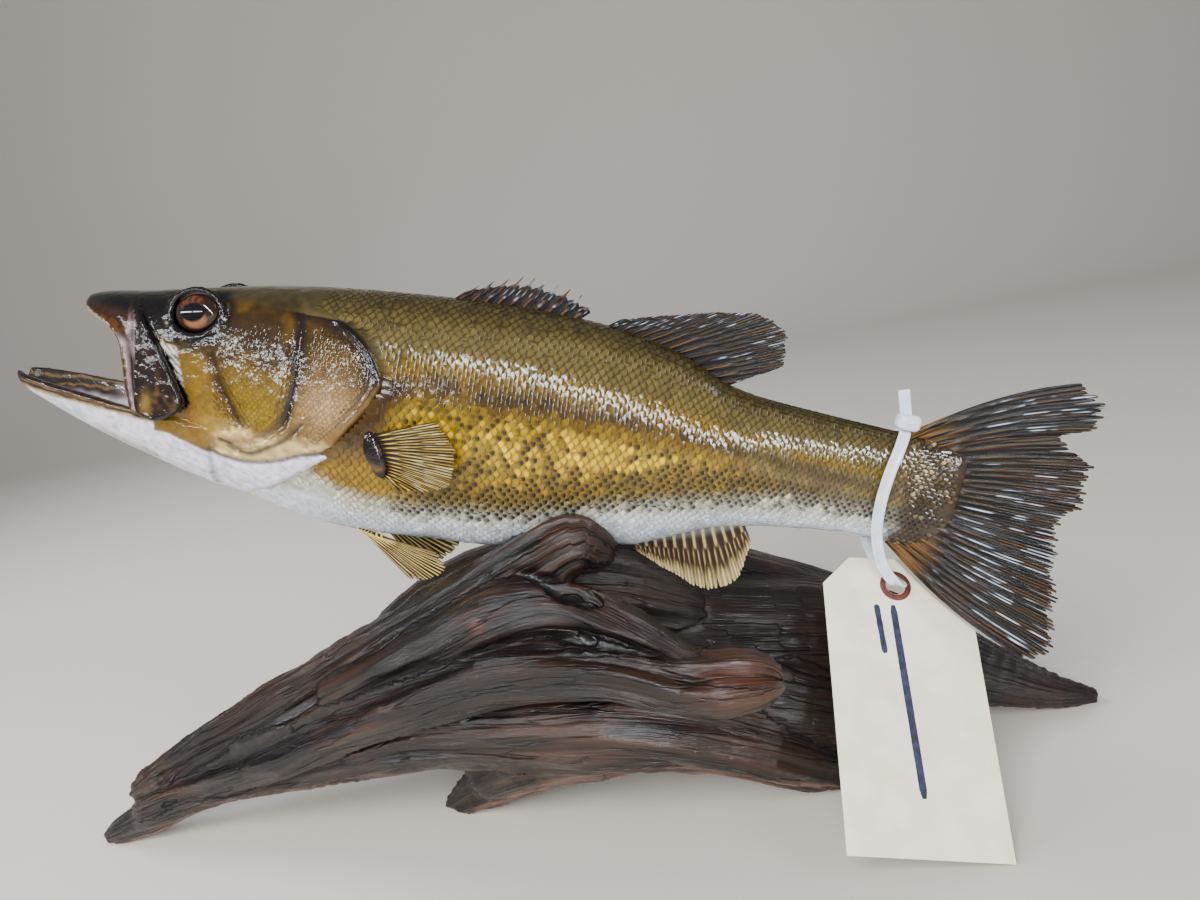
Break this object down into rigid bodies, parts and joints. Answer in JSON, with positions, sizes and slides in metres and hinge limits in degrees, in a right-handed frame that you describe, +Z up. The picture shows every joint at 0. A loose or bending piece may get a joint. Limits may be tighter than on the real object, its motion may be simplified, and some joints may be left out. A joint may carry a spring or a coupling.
{
  "type": "mounted largemouth bass on driftwood",
  "caption": "Still life-size model of a mounted largemouth bass, mouth open, resting on a low piece of dark driftwood, with a blank tag tied round the tail.",
  "frame": {"origin": "on the floor under the middle of the whole", "axes": "+Z up, the fish faces -X, its left side faces -Y"},
  "size_m": [0.5632, 0.1904, 0.306],
  "materials": {
    "skin": "gloss varnish over dried fish skin",
    "head_skin": "gloss varnish over painted head skin",
    "pale_skin": "gloss varnish over pale skin",
    "dark_fin": "varnished dried fin, dark",
    "pale_fin": "varnished dried fin, yellow",
    "eye": "polished glass eye with painted iris",
    "wood": "dark varnished driftwood",
    "nylon": "translucent white nylon",
    "card": "cream tag card"
  },
  "bodies": {
    "root": {"head": "head_skin", "lower_jaw": "pale_skin", "throat": "pale_skin", "upper_lip": "head_skin", "maxilla_left": "head_skin", "maxilla_right": "head_skin", "gill_cover_left": "head_skin", "gill_cover_right": "head_skin", "eye_left": "eye", "eye_right": "eye", "trunk_front": "skin", "trunk_rear": "skin", "tail_stalk": "skin", "dorsal_fin_spiny": "dark_fin", "dorsal_fin_soft": "dark_fin", "anal_fin": "pale_fin", "pectoral_fin_left": "pale_fin", "pectoral_fin_right": "pale_fin", "pelvic_fin_left": "pale_fin", "pelvic_fin_right": "pale_fin", "tail_fin": "dark_fin", "driftwood": "wood", "tie_strap": "nylon", "tie_head": "nylon", "tag": "card"}
  },
  "joints": []
}
